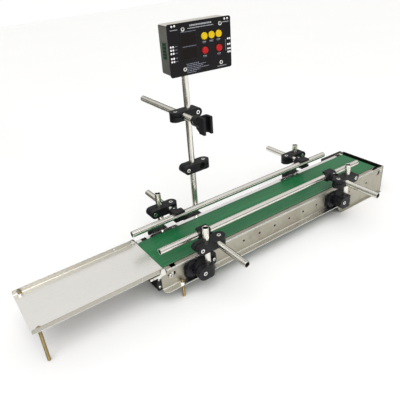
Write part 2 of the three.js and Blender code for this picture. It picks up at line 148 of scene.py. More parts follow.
M = {}
# one stainless sheet in three colours: the plate colour is a darker copy for the upright face (painted shade); the lip
# and back-lip colours are lighter copies for the top lips, bends, flanges and tray arms (painted highlight)
M["plate"] = metal("stainless_plate", (0.44, 0.42, 0.345), (0.53, 0.51, 0.43), (0.42, 0.55), cloud=9.0, stain=((0.32, 0.285, 0.22), 11.0))
M["lip"] = metal("stainless_lip_painted_highlight", (0.78, 0.77, 0.72), (0.92, 0.91, 0.88), (0.20, 0.32))
M["back_lip_painted_highlight"] = metal("stainless_back_lip_painted_highlight", (0.86, 0.86, 0.84), (0.97, 0.97, 0.96), (0.06, 0.14), grain_bump=0.000004)
M["tray"] = metal("stainless_tray", (0.92, 0.905, 0.865), (0.98, 0.965, 0.93), (0.24, 0.38), grain=(25, 2600, 2600), cloud=6.0)
M["tube_x"] = metal("tube_polished_x", (0.78, 0.77, 0.70), (0.90, 0.89, 0.83), (0.17, 0.25), grain=(60, 60, 60), cloud=30.0, grain_bump=0.000003, tint=(0.22, 0.21, 0.17))
# near-black for tube bores, plate hole walls and the cups behind the holes: painted shade in hollows
M["tube_in"] = plastic("bore_painted_shade", (0.006, 0.006, 0.006), (0.014, 0.013, 0.012), (0.6, 0.8))
M["steel"] = metal("bright_steel", (0.62, 0.61, 0.58), (0.82, 0.81, 0.79), (0.16, 0.28), grain=(400, 400, 400), cloud=120.0)
M["screw"] = metal("screw_plated", (0.72, 0.72, 0.70), (0.90, 0.90, 0.88), (0.14, 0.26), grain=(900, 900, 900), cloud=200.0)
# near-black colour for screw sockets, cross recesses and terminal wire mouths: painted shade in recesses
M["socket_shade"] = plastic("screw_socket_painted_shade", (0.01, 0.01, 0.01), (0.03, 0.03, 0.03), (0.5, 0.7))
M["zinc"] = metal("yellow_zinc", (0.30, 0.21, 0.075), (0.50, 0.375, 0.17), (0.24, 0.38), grain=(900, 900, 200), cloud=70.0, stain=((0.20, 0.15, 0.08), 90.0))
M["motor"] = metal("motor_can", (0.40, 0.41, 0.42), (0.56, 0.57, 0.58), (0.32, 0.46), grain=(300, 30, 300), cloud=40.0)
M["nylon"] = plastic("nylon_black", (0.0045, 0.0048, 0.006), (0.010, 0.0105, 0.013), (0.34, 0.50), micro=2600.0, micro_h=0.00005, wear=(0.016, 0.0165, 0.019), spec=0.24)
M["black"] = plastic("powder_black", (0.005, 0.005, 0.005), (0.013, 0.0125, 0.011), (0.34, 0.50), micro=1800.0, micro_h=0.00007, coat=0.05, spec=0.25)
M["rubber"] = plastic("rubber_black", (0.010, 0.010, 0.010), (0.022, 0.022, 0.022), (0.65, 0.85))
M["panel"] = plastic("panel_film", (0.006, 0.005, 0.006), (0.012, 0.0105, 0.0125), (0.26, 0.38), micro=4200.0, micro_h=0.00002, spec=0.16)
M["display"] = plastic("display_window", (0.004, 0.002, 0.002), (0.009, 0.004, 0.0045), (0.08, 0.16), micro=800.0, micro_h=0.000002, spec=0.15)
M["print"] = plastic("print_white", (0.36, 0.37, 0.40), (0.50, 0.51, 0.55), (0.45, 0.6), micro_h=0.00001)
M["print_blue"] = plastic("print_dim", (0.19, 0.20, 0.26), (0.28, 0.30, 0.37), (0.45, 0.6), micro_h=0.00001)
M["dot"] = plastic("dot_white", (0.84, 0.84, 0.84), (0.95, 0.95, 0.95), (0.3, 0.45), micro_h=0.00001)
M["yellow"] = plastic("button_yellow", (0.72, 0.47, 0.001), (0.84, 0.58, 0.004), (0.28, 0.42), micro_h=0.00001, spec=0.3)
M["red"] = plastic("button_red", (0.42, 0.004, 0.006), (0.56, 0.008, 0.010), (0.28, 0.42), micro_h=0.00001, spec=0.3)
M["green_t"] = plastic("terminal_green", (0.006, 0.055, 0.018), (0.012, 0.095, 0.03), (0.4, 0.55), spec=0.3)
# light colour for the case's top faces, front edge and front rim: painted highlight
M["case_edge"] = plastic("case_top_painted_highlight", (0.46, 0.45, 0.40), (0.60, 0.59, 0.54), (0.35, 0.5), micro=1500.0, micro_h=0.00004)
M["case"] = metal("case_grey", (0.12, 0.12, 0.105), (0.24, 0.24, 0.215), (0.34, 0.50), grain=(300, 300, 300), cloud=20.0, grain_bump=0.00004)
# belt edge colours: light on the near top bevel and the far side face (painted highlight), near-black on the near side
# face (painted shade) and on the underside
M["edge"] = plastic("belt_edge_painted_highlight", (0.10, 0.22, 0.12), (0.18, 0.32, 0.19), (0.6, 0.8), micro=1500.0, micro_h=0.00008)
M["belt_side_shade"] = plastic("belt_painted_shade", (0.010, 0.014, 0.010), (0.022, 0.028, 0.020), (0.7, 0.9), micro=1500.0, micro_h=0.0001, spec=0.2)

def belt_material():
    m, nt, b, co = new_mat("belt_green")
    c = noise(nt, co, (5.0, 16.0, 16.0), 5.0, 0.6, 0.5)
    base = mixc(nt, c, (0.008, 0.105, 0.034), (0.020, 0.165, 0.060))
    rub = ramp(nt, noise(nt, co, (3.0, 150.0, 20.0), 4.0, 0.6), [(0.50, 0.0), (0.80, 1.0)])
    base = mixc(nt, rub, base, (0.026, 0.180, 0.072))
    dust = ramp(nt, noise(nt, co, 240.0, 6.0, 0.7), [(0.64, 0.0), (0.72, 1.0)])
    base = mixc(nt, mixc(nt, 0.75, dust, (0.0, 0.0, 0.0)), base, (0.05, 0.22, 0.11))
    nt.links.new(base, b.inputs["Base Color"])
    nt.links.new(maprange(nt, noise(nt, co, (8.0, 60.0, 60.0), 4.0), 0.17, 0.33), b.inputs["Roughness"])
    b.inputs["Specular IOR Level"].default_value = 0.30
    wv = nt.nodes.new("ShaderNodeTexWave"); wv.wave_type = "BANDS"; wv.bands_direction = "DIAGONAL"
    wv.inputs["Scale"].default_value = 620.0
    wv.inputs["Distortion"].default_value = 0.4
    nt.links.new(co, wv.inputs["Vector"])
    n1 = bump(nt, b, wv.outputs["Fac"], 0.000012)
    bump(nt, b, noise(nt, co, (10.0, 26.0, 26.0), 3.0), 0.0005, 0.35, n1)
    return m
M["belt"] = belt_material()

# ------------------------------------------------------------------ mesh helpers (millimetres)
def temp(me):
    o = bpy.data.objects.new("tmp", me)
    bpy.context.scene.collection.objects.link(o)
    return o
def drop(*objs):
    for o in objs:
        me = o.data
        bpy.data.objects.remove(o)
        if me.users == 0: bpy.data.meshes.remove(me)
def bm_to(bm):
    bmesh.ops.recalc_face_normals(bm, faces=bm.faces)
    me = bpy.data.meshes.new("m")
    bm.to_mesh(me); bm.free()
    return me
def m_box(x0, x1, y0, y1, z0, z1):
    bm = bmesh.new()
    bmesh.ops.create_cube(bm, size=1.0)
    sx, sy, sz = abs(x1 - x0), abs(y1 - y0), abs(z1 - z0)
    for v in bm.verts:
        v.co = Vector((v.co.x * sx + (x0 + x1) / 2, v.co.y * sy + (y0 + y1) / 2, v.co.z * sz + (z0 + z1) / 2))
    return bm_to(bm)
AX = {"z": Matrix.Identity(4), "y": Matrix.Rotation(-math.pi / 2, 4, "X"), "x": Matrix.Rotation(math.pi / 2, 4, "Y")}
def m_cyl(axis, a, b, p, q, r, n=40):
    bm = bmesh.new()
    bmesh.ops.create_cone(bm, cap_ends=True, segments=n, radius1=r, radius2=r, depth=abs(b - a))
    mid = (a + b) / 2
    c = {"z": (p, q, mid), "y": (p, mid, q), "x": (mid, p, q)}[axis]
    bmesh.ops.transform(bm, matrix=Matrix.Translation(c) @ AX[axis], verts=bm.verts)
    return bm_to(bm)
def m_poly(points, axis, lo, hi):
    """Outline pushed along an axis. Points are (x, z) for y, (x, y) for z and (y, z) for x."""
    bm = bmesh.new()
    def at(p, t):
        return {"y": (p[0], t, p[1]), "z": (p[0], p[1], t), "x": (t, p[0], p[1])}[axis]
    a = [bm.verts.new(at(p, lo)) for p in points]
    b = [bm.verts.new(at(p, hi)) for p in points]
    bm.faces.new(a); bm.faces.new(b[::-1])
    n = len(points)
    for i in range(n):
        bm.faces.new((a[i], a[(i + 1) % n], b[(i + 1) % n], b[i]))
    return bm_to(bm)
def arc(cx, cy, r, a0, a1, n=8):
    return [(cx + r * math.cos(math.radians(a0 + (a1 - a0) * i / n)), cy + r * math.sin(math.radians(a0 + (a1 - a0) * i / n))) for i in range(n + 1)]
def rrect(x0, x1, z0, z1, r, n=6):
    return arc(x1 - r, z1 - r, r, 0, 90, n) + arc(x0 + r, z1 - r, r, 90, 180, n) + arc(x0 + r, z0 + r, r, 180, 270, n) + arc(x1 - r, z0 + r, r, 270, 360, n)
def lathe(profile, seg=48, closed=False, rfun=None):
    """Turned body about Z. An open profile starts and ends on the axis."""
    bm = bmesh.new()
    rings = []
    for r, z in profile:
        if r < 1e-6:
            rings.append([bm.verts.new((0, 0, z))])
        else:
            rings.append([bm.verts.new((r * math.cos(2 * math.pi * k / seg), r * math.sin(2 * math.pi * k / seg), z)) for k in range(seg)])
    pairs = list(zip(rings, rings[1:])) + ([(rings[-1], rings[0])] if closed else [])
    for a, b in pairs:
        for k in range(seg):
            k2 = (k + 1) % seg
            if len(a) == 1 and len(b) == 1: continue
            if len(a) == 1: bm.faces.new((a[0], b[k], b[k2]))
            elif len(b) == 1: bm.faces.new((a[k], a[k2], b[0]))
            else: bm.faces.new((a[k], a[k2], b[k2], b[k]))
    return bm_to(bm)
def xf(me, m):
    me.transform(m)
    if m.determinant() < 0: me.flip_normals()
    return me
def joined(meshes):
    bm = bmesh.new()
    for me in meshes:
        bm.from_mesh(me)
        bpy.data.meshes.remove(me)
    me = bpy.data.meshes.new("m"); bm.to_mesh(me); bm.free()
    return me
def csg(base, adds=(), cuts=(), inter=(), bevel=0.5, seg=3, angle=32.0):
    """Joins, crops and cuts, then rounds the edges that are left."""
    o = temp(base); others = []
    for op, ms in (("UNION", adds), ("INTERSECT", inter), ("DIFFERENCE", cuts)):
        for m in ms:
            t = temp(m); others.append(t)
            md = o.modifiers.new(op, "BOOLEAN")
            md.operation, md.object, md.solver = op, t, "EXACT"
    if bevel:
        w = o.modifiers.new("weld", "WELD"); w.merge_threshold = 0.01
        md = o.modifiers.new("bevel", "BEVEL")
        md.width, md.segments, md.limit_method, md.angle_limit = bevel, seg, "ANGLE", math.radians(angle)
        md.use_clamp_overlap = True
        md.miter_outer = "MITER_ARC"
    dg = bpy.context.evaluated_depsgraph_get()
    me = bpy.data.meshes.new_from_object(o.evaluated_get(dg))
    drop(o, *others)
    return me
def copy_of(me):
    return me.copy()
def piece(name, me, mats, body, replaces=(), sharp=34.0, place=None):
    """Puts a millimetre mesh into the row frame as one named piece."""
    if place is not None: xf(me, place)
    me.transform(TO_ROW)
    me.name = name
    if not isinstance(mats, (list, tuple)): mats = [mats]
    idx = [p.material_index for p in me.polygons]
    me.materials.clear()
    for m in mats: me.materials.append(M[m] if isinstance(m, str) else m)
    me.polygons.foreach_set("material_index", [min(i, len(mats) - 1) for i in idx])
    me.shade_smooth()
    me.set_sharp_from_angle(angle=math.radians(sharp))
    o = bpy.data.objects.new(name, me)
    bpy.context.scene.collection.objects.link(o)
    wn = o.modifiers.new("flat_faces", "WEIGHTED_NORMAL")
    wn.keep_sharp, wn.weight = True, 80
    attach(o, body)
    if replaces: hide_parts(*replaces)
    return o
def paint(me, test, index):
    for p in me.polygons:
        if test(p): p.material_index = index
    return me

# ------------------------------------------------------------------ standard hardware
def thread(z0, z1, r=3.0, pitch=1.0, depth=0.42, seg=18, per=5):
    """Screw thread about Z with a chamfer at each end."""
    n = max(4, int((z1 - z0) / pitch * per))
    bm = bmesh.new(); rows = []
    for i in range(n + 1):
        z = z0 + (z1 - z0) * i / n
        taper = min(1.0, (z - z0) / 1.0, (z1 - z) / 1.0)
        row = []
        for k in range(seg):
            u = (z / pitch - k / seg) % 1.0
            t = abs(2 * u - 1)
            rr = r - depth * min(1.0, max(0.0, 1.25 * t - 0.12))
            rr = min(rr, r - 0.75 * (1 - max(0.0, taper)))
            row.append(bm.verts.new((rr * math.cos(2 * math.pi * k / seg), rr * math.sin(2 * math.pi * k / seg), z)))
        rows.append(row)
    for a, b in zip(rows, rows[1:]):
        for k in range(seg):
            bm.faces.new((a[k], a[(k + 1) % seg], b[(k + 1) % seg], b[k]))
    bm.faces.new(rows[0][::-1]); bm.faces.new(rows[-1])
    return bm_to(bm)
_SOCK = {}
def socket_screw(r, h, af):
    """Cap screw head, top face at z = 0, standing down to -h, with a hexagon socket. Material 1 is the near-black
    socket lining, painted shade.
    """
    key = (r, h, af)
    if key not in _SOCK:
        c = 0.35
        head = lathe([(0, -h), (r, -h), (r, -c), (r - c * 0.4, -c * 0.35), (r - c, 0), (0, 0)], 32)
        hexa = m_cyl("z", -h * 0.6, 1.0, 0, 0, af / math.sqrt(3), 6)
        me = csg(head, cuts=[hexa], bevel=0)
        paint(me, lambda p: p.center.z < -0.02 and math.hypot(p.center.x, p.center.y) < af * 0.62 and p.center.z > -h * 0.97, 1)
        _SOCK[key] = me
    return _SOCK[key].copy()
def cross_screw(r, h):
    """Pan head with a cross recess, seat at z = 0."""
    key = ("x", r, h)
    if key not in _SOCK:
        prof = [(0, -0.6), (r, -0.6), (r, 0.2)] + [(r * math.cos(math.radians(a)), 0.2 + (h - 0.2) * math.sin(math.radians(a))) for a in (18, 36, 54, 72)] + [(0, h)]
        head = lathe(prof, 32)
        w, l = r * 0.16, r * 0.62
        me = csg(head, cuts=[m_box(-l, l, -w, w, h * 0.45, h + 1), m_box(-w, w, -l, l, h * 0.45, h + 1)], bevel=0)
        # the cross recess is coloured near-black: painted shade
        paint(me, lambda p: p.center.z < h * 0.75 and math.hypot(p.center.x, p.center.y) < l * 1.05 and p.center.z > 0.1, 1)
        _SOCK[key] = me
    return _SOCK[key].copy()
FACE = {"-y": Matrix.Rotation(math.pi / 2, 4, "X"), "+y": Matrix.Rotation(-math.pi / 2, 4, "X"), "+z": Matrix.Identity(4),
        "-z": Matrix.Rotation(math.pi, 4, "X"), "-x": Matrix.Rotation(-math.pi / 2, 4, "Y"), "+x": Matrix.Rotation(math.pi / 2, 4, "Y")}
def at(me, x, y, z, face, spin=0.0):
    return xf(me, Matrix.Translation((x, y, z)) @ FACE[face] @ Matrix.Rotation(spin, 4, "Z"))
SCREWS = {}
def add_screw(body, me):
    SCREWS.setdefault(body, []).append(me)

# ------------------------------------------------------------------ frame: plates, bed, end parts
def side_plate(back):
    lo, hi = wbox("side_plate_front")
    x0, x1 = -14.0, 641.0
    top = [(x0, -5), (-1.2, -5), (-1.2, -3.2), (604, -3.2), (604, -1)] + arc(640, -2, 1, 90, 0, 3)
    face = m_poly([(x0, -41.5)] + top[:] + arc(639.5, -71.5, 1.5, 0, -90, 4) + [(486, -73), (470, -41.5)], "y", -12, -10.5)
    # top lip and bottom flange with their bend radii
    R = 2.4
    lip = [(-1.5, -1)] + arc(-12 + R, -1 - R, R, 90, 180, 6) + [(-12, -9), (-10.5, -9)] + arc(-12 + R, -1 - R, R - 1.5, 180, 90, 5) + [(-1.5, -2.5)]
    lipm = m_poly(lip, "x", -1, 604)
    fl = [(-12, -33)] + [(-12, -41.5 + R + 1.5)] + arc(-12 - R, -41.5 + 1.5 + R, R, 0, -90, 6) + [(-26, -40), (-26, -41.5)] + arc(-12 - R, -41.5 + 1.5 + R, R + 1.5, -90, 0, 6) + [(-10.5, -33)]
    flm = m_poly(fl, "x", -14, 470)
    ft = [(-12, -68)] + arc(-12 - 1, -71.5 + 1, 1.0, 0, -90, 4) + [(-16, -71.5), (-16, -73), (-11.5, -73)] + [(-10.5, -72), (-10.5, -68)]
    ftm = m_poly(ft, "x", 486, 641)
    cuts = [m_cyl("y", -14, -9, 141 + 43.2 * k, -19, 2.5 if k else 1.7, 24) for k in range(7)]
    cuts += [m_cyl("y", -14, -9, 536, -27, 2.5, 24), m_cyl("y", -14, -9, 579, -27, 2.5, 24), m_cyl("y", -14, -9, 516, -27, 1.5, 20)]
    def slot(xa, xb):
        return m_poly(arc(xb, -14.5, 4.6, -90, 90, 12) + arc(xa, -14.5, 4.6, 90, 270, 12), "y", -14, -9)
    cuts += [slot(4, 13), slot(619, 625), m_box(9.5, 21.5, -10.2, 0, -4, 0), m_cyl("z", -43, -38, 113, -19, 2.2, 24), m_cyl("z", -43, -33, 26, -19, 3.05, 24)]
    corner = csg(m_box(-15, -6, -27, -18, -42, -39.5), cuts=[m_cyl("z", -43, -38, -6, -18, 8, 48)], bevel=0)
    cuts.append(corner)
    if back: cuts.append(m_cyl("y", -14, -9, 590, -50, 7, 32))
    me = csg(face, adds=[lipm, flm, ftm], cuts=cuts, bevel=0.22, seg=2, angle=40)
    # top lips and flange faces get the lighter stainless copy: painted highlight
    if back:
        paint(me, lambda p: (p.center.z > -3.6 and p.center.x < 604.5) or (p.center.y < -12.35 and p.center.x < 471), 1)
    else:
        paint(me, lambda p: (p.center.z > -3.6 and p.center.y < -9.55 and abs(p.normal.x) < 0.5) or (p.center.y < -12.35 and p.center.x < 471), 1)
    hole_at = [(141 + 43.2 * k, -19, 2.5) for k in range(7)] + [(536, -27, 2.5), (579, -27, 2.5), (516, -27, 1.5)]
    # hole walls coloured near-black: painted shade
    paint(me, lambda p: any(math.hypot(p.center.x - a, p.center.z - b) < r + 0.05 for a, b, r in hole_at), 2)
    if back: xf(me, MIR)
    s = "back" if back else "front"
    # a near-black cup behind each plate hole stands for the shade inside the frame: painted shade
    cups = []
    for a, b, r in hole_at:
        cup = csg(m_cyl("y", -10.5, -7.2, a, b, 3.3, 28), cuts=[m_cyl("y", -11, -8.0, a, b, r, 24)], bevel=0)
        cups.append(cup)
    cm = joined(cups)
    if back: xf(cm, MIR)
    piece("hole_shade_cups_" + s, cm, "tube_in", "root")
    piece("side_plate_" + s + "_sheet", me, ["plate", "back_lip_painted_highlight" if back else "lip", "tube_in"], "root", ["side_plate_" + s], sharp=30)
    # weld nut and clamp bolt
    nut = csg(m_cyl("z", -40, -35.5, 26, -19, 5.8, 6), cuts=[m_cyl("z", -44, -30, 26, -19, 3.05, 24)], bevel=0.4, seg=2)
    if back: xf(nut, MIR)
    piece("weld_nut_" + s, nut, "steel", "root")
    y1 = -15.2 if not back else -13.2
    bolt = at(lathe([(0, 0), (3.5, 0), (4.0, 0.5), (4.0, 7.5), (3.2, 8.0), (3.2, 10.5), (0, 10.5)], 36), 631, y1, -7.5, "+y")
    bolt = csg(bolt, cuts=[m_cyl("y", y1 - 1, y1 + 2.2, 631, -7.5, 2.0, 6)], bevel=0)
    # hex socket coloured near-black: painted shade
    paint(bolt, lambda p: y1 + 0.1 < p.center.y < y1 + 2.4 and math.hypot(p.center.x - 631, p.center.z + 7.5) < 2.1, 1)
    if back: xf(bolt, MIR)
    piece("axle_clamp_bolt_" + s, bolt, ["screw", "socket_shade"], "root")
side_plate(False); side_plate(True)

def rounded_node(node, mat, width=0.3, body="root"):
    """A softened copy of a CAD solid, shown in its place."""
    me = NODES[node].data.copy()
    me.materials.clear()
    me.transform(TO_ROW.inverted())
    piece(node + "_softened", csg(me, bevel=width, seg=2, angle=30.0), mat, body, [node])
for n, m, w, b, s in (("slider_bed", "tray", 0.2, "root", "stainless"), ("cross_tie", "steel", 0.3, "root", "stainless"),
                      ("drive_end_plate", "black", 0.5, "root", "black_steel"), ("drive_guard", "black", 0.6, "root", "black_steel"),
                      ("drive_bearing_front", "black", 0.5, "root", "polished"), ("drive_bearing_back", "black", 0.5, "root", "polished"),
                      ("tail_block_front", "steel", 0.5, "take_up", "polished"), ("tail_block_back", "steel", 0.5, "take_up", "polished")):
    rounded_node(n, m, w, b)

def tail_bracket():
    R = 2.0
    outer = [(-8, -41), (-8, -7)]
    prof = ([(-6, -10.2)] + arc(-22 + R, -10.2 + R, R, 270, 180, 5) + arc(-22 + R, 110.2 - R, R, 180, 90, 5) + [(-6, 110.2), (-6, 108.7)]
            + arc(-22 + R, 110.2 - R, R - 1.5, 90, 180, 4) + arc(-22 + R, -10.2 + R, R - 1.5, 180, 270, 4) + [(-6, -8.7)])
    me = csg(m_poly(prof, "z", -41, -7), cuts=[m_cyl("x", -25, -18, 50, -24, 5, 32), m_cyl("x", -25, -18, 20, -24, 2.2, 24), m_cyl("x", -25, -18, 80, -24, 2.2, 24)], bevel=0.3, seg=2)
    piece("tail_bracket_sheet", me, "black", "root", ["tail_bracket"])
    for z in (-15, -32):
        add_screw("root", at(cross_screw(2.8, 1.9), -18, -10.3, z, "-y", 0.4))
        add_screw("root", at(cross_screw(2.8, 1.9), -18, 110.3, z, "+y", 0.7))
    for s, yo, yi, yr, yh0, yh1, f in (("front", -15.3, -12.8, -9, -10.9, -8.6, "+y"), ("back", 109.8, 107.3, 109.5, 105.4, 103.1, "-y")):
        side = m_poly([(-38, -6.5), (-5, -6.5), (-5, 3)] + arc(-10, 3, 5, 0, 180, 12) + [(-15, -1.5), (-17.5, -3), (-36.5, -3)] + arc(-36.5, -4.5, 1.5, 90, 180, 3), "y", yo, yi)
        arm = csg(side, adds=[m_box(-22, -15, min(yo, yr), max(yo, yr), -9.5, -5.5)], cuts=[m_cyl("y", min(yo, yi) - 1, max(yo, yi) + 1, -32, -4.8, 1.1, 20)], bevel=0.3, seg=2)
        piece("tray_arm_" + s, arm, "lip", "root")
        d = 1 if f == "+y" else -1
        pin = lathe([(0, -4.6), (2.15, -4.6), (2.15, 0), (3.3, 0), (3.6, 0.3), (3.6, 1.7), (3.2, 2.2), (0, 2.3)], 32)
        piece("tray_pivot_screw_" + s, at(pin, -10, yh0, 3, f), "screw", "root")
tail_bracket()

# ------------------------------------------------------------------ belt and rollers
def belt():
    xa, xb, z0, r, t = 5.0, 620.0, -14.5, 12.5, 2.0
    path = []
    for i in range(41): path.append((xb, z0, -90 + 180 * i / 40))
    for i in range(1, 40): path.append((xb + (xa - xb) * i / 40, z0, 90))
    for i in range(41): path.append((xa, z0, 90 + 180 * i / 40))
    for i in range(1, 40): path.append((xa + (xb - xa) * i / 40, z0, 270))
    # light edge colour on the near top bevel and far side face is painted highlight; the dark colour on the near side
    # face is painted shade and also covers the underside
    e = 0.35
    sec = [(0, r + e, 1), (0, r + t - e, 1), (e, r + t, 0), (1.4, r + t, 0), (50, r + t, 0), (98.6, r + t, 0), (100 - e, r + t, 0), (100, r + t - e, 1), (100, r + e, 1), (100 - e, r, 2), (50, r, 2), (e, r, 2)]
    bm = bmesh.new(); rows = []
    for x, z, a in path:
        ca, sa = math.cos(math.radians(a)), math.sin(math.radians(a))
        rows.append([bm.verts.new((x + rr * ca, y, z + rr * sa)) for y, rr, _ in sec])
    n, k = len(rows), len(sec)
    for i in range(n):
        for j in range(k):
            f = bm.faces.new((rows[i][j], rows[(i + 1) % n][j], rows[(i + 1) % n][(j + 1) % k], rows[i][(j + 1) % k]))
            f.material_index = 1 if j in (1, 7) else (2 if j in (0, 8, 9, 10, 11) else 0)
    me = bm_to(bm)
    piece("conveyor_belt_loop", me, ["belt", "edge", "belt_side_shade"], "root", ["conveyor_belt"], sharp=40)
belt()
def roller(name, x, y0, y1, body, thr=True):
    R, r = 12.2, 4.0
    prof = [(0, y0), (r - 0.6, y0), (r, y0 + 0.6), (r, 0.6), (R - 1.2, 0.6), (R - 0.5, 1.2), (R, 30), (R, 70), (R - 0.5, 98.8), (R - 1.2, 99.4), (r, 99.4), (r, y1 - 0.6), (r - 0.6, y1), (0, y1)]
    me = xf(lathe(prof, 56), Matrix.Translation((x, 0, -14.5)) @ Matrix.Rotation(-math.pi / 2, 4, "X"))
    hole = m_cyl("y", y0 - 1, y0 + 6, x, -14.5, 1.7, 20)
    me = csg(me, cuts=[hole], bevel=0)
    piece(name + "_turned", me, "steel", body, [name], sharp=30)
roller("drive_roller", 620, -11, 120.8, "drive"); roller("tail_roller", 5, -16, 116, "tail_roll")

def pulley(name, x, z, body, shaft=None):
    teeth = []
    n = 18
    for i in range(n):
        a = 360 * i / n
        teeth += [(8.0 * math.cos(math.radians(a + d)), 8.0 * math.sin(math.radians(a + d))) for d in (-5.6, 5.6)]
        teeth += [(7.2 * math.cos(math.radians(a + d)), 7.2 * math.sin(math.radians(a + d))) for d in (7.8, 12.2)]
    body_m = m_poly([(x + p, z + q) for p, q in teeth], "y", 114.3, 119.7)
    adds = [m_cyl("y", 113.6, 114.4, x, z, 9.4, 48), m_cyl("y", 119.6, 120.4, x, z, 9.4, 48)]
    if shaft: adds.append(m_cyl("y", shaft[0], shaft[1], x, z, 3.0, 32))
    cuts = [] if shaft else [m_cyl("y", 110, 130, x, z, 4.25, 40)]
    piece(name + "_toothed", csg(body_m, adds=adds, cuts=cuts, bevel=0.2, seg=2), "steel", body, [name])
pulley("drive_pulley", 620, -14.5, "drive"); pulley("motor_pulley", 590, -50, "motor_rotor", (104, 120.6))

def timing_belt():
    xa, za, xb, zb = 590.0, -50.0, 620.0, -14.5
    a0 = math.degrees(math.atan2(zb - za, xb - xa))
    L = math.hypot(xb - xa, zb - za)
    pts = []
    for i in range(25): pts.append((xb, zb, a0 - 90 + 180 * i / 24))
    for i in range(1, 40): pts.append((xb + (xa - xb) * i / 40, zb + (za - zb) * i / 40, a0 + 90))
    for i in range(25): pts.append((xa, za, a0 + 90 + 180 * i / 24))
    for i in range(1, 40): pts.append((xa + (xb - xa) * i / 40, za + (zb - za) * i / 40, a0 - 90))
    bm = bmesh.new(); rows = []
    for k, (x, z, a) in enumerate(pts):
        c, s = math.cos(math.radians(a)), math.sin(math.radians(a))
        ri = 8.35 if k % 2 else 8.5
        rows.append([bm.verts.new((x + r * c, y, z + r * s)) for y, r in ((114.8, ri), (114.8, 9.6), (119.2, 9.6), (119.2, ri))])
    n = len(rows)
    for i in range(n):
        for j in range(4):
            bm.faces.new((rows[i][j], rows[(i + 1) % n][j], rows[(i + 1) % n][(j + 1) % 4], rows[i][(j + 1) % 4]))
    piece("timing_belt_ribbed", bm_to(bm), "rubber", "root", ["timing_belt"], sharp=25)
timing_belt()
def gearmotor():
    prof = [(0, 33.2), (4.8, 33.2), (5, 33.6), (5, 36), (16.6, 36), (17.5, 37), (17.5, 52), (17.1, 52.4), (17.1, 53.6), (17.5, 54), (17.5, 83), (18.1, 83), (18.5, 83.5), (18.5, 88), (18.1, 88.4), (18.1, 89), (18.5, 89.4),
            (18.5, 109.6), (18.0, 110.2), (6, 110.2), (6, 112.6), (5.6, 113), (3.45, 113), (3.45, 103.2), (0, 103.2)]
    me = xf(lathe(prof, 56), Matrix.Translation((590, 0, -50)) @ Matrix.Rotation(-math.pi / 2, 4, "X"))
    piece("gearmotor_can", me, "motor", "root", ["gearmotor"], sharp=28)
    for a in range(0, 360, 60):
        add_screw("root", at(cross_screw(1.6, 0.5), 590 + 14 * math.cos(math.radians(a)), 36.0, -50 + 14 * math.sin(math.radians(a)), "-y", a))
gearmotor()

# ------------------------------------------------------------------ tray and threaded legs
def tray():
    x0, x1, y0, y1, zb, zt, t, top, R = -251.0, -3.5, -12.5, 107.0, -2.2, -1.0, 1.2, 8.0, 2.0
    sec = ([(y0, top)] + arc(y0 + R, zb + R, R, 180, 270, 6) + arc(y1 - R, zb + R, R, 270, 360, 6) + [(y1, top), (y1 - t, top)]
           + arc(y1 - R, zb + R, R - t, 360, 270, 5) + arc(y0 + R, zb + R, R - t, 270, 180, 5) + [(y0 + t, top)])
    body = m_poly(sec, "x", x0, -4.5)
    tongue = m_box(-6, x1, y0 + 2.2, y1 - 2.2, zb, zt)
    cuts = [m_cyl("z", zb - 2, 7, -239, y, 3.05, 24) for y in (-5.8, 100.5)]
    cuts += [m_cyl("y", y0 - 2, y0 + 3, -10, 3, 2.6, 24), m_cyl("y", y1 - 3, y1 + 2, -10, 3, 2.6, 24), m_cyl("y", y0 - 2, y0 + 3, -51, 3.6, 1.8, 20), m_cyl("y", y1 - 3, y1 + 2, -51, 3.6, 1.8, 20)]
    # clipped upper corners of the lips
    for y in (y0, y1):
        cuts.append(m_poly([(x0 - 1, top + 1), (x0 - 1, top - 2.6), (x0, top - 2.2), (x0 + 2.2, top), (x0 + 2.6, top + 1)], "y", y - 2, y + 2))
        cuts.append(m_poly([(-3.5, top + 1), (-7.2, top + 1), (-6.8, top), (-4.5, top - 2.2), (-3.5, top - 2.6)], "y", y - 2, y + 2))
    me = csg(body, adds=[tongue], cuts=cuts, bevel=0.2, seg=2, angle=40)
    # upright walls get a darker copy of the tray stainless: painted shade; the floor keeps the light copy as painted
    # highlight
    paint(me, lambda p: p.center.z > zt + 0.6, 1)
    piece("tray_sheet", me, ["tray", "tray_wall_painted_shade"], "infeed_tray", ["tray"], sharp=30)
    nuts = [csg(m_cyl("z", zt, zt + 3.6, -239, y, 5.2, 6), cuts=[m_cyl("z", -4, 6, -239, y, 3.05, 24)], bevel=0.4, seg=2) for y in (-5.8, 100.5)]
    piece("tray_weld_nuts", joined(nuts), "steel", "infeed_tray")
# darker copy of the tray stainless for the walls: painted shade
M["tray_wall_painted_shade"] = metal("stainless_tray_wall_painted_shade", (0.43, 0.41, 0.35), (0.56, 0.54, 0.48), (0.24, 0.38), grain=(25, 2600, 2600), cloud=10.0)
tray()
for n, x, y, z1, b in (("tray_leg_front", -239, -5.8, 4.4, "tray_foot_front"), ("tray_leg_back", -239, 100.5, 4.4, "tray_foot_back"),
                       ("levelling_stud_front", 26, -19, -32, "stud_front"), ("levelling_stud_back", 26, 119, -32, "stud_back")):
    me = thread(-73, z1, r=2.98)
    piece(n + "_threaded", me, "zinc", b, [n], sharp=60, place=Matrix.Translation((x, y, 0)))

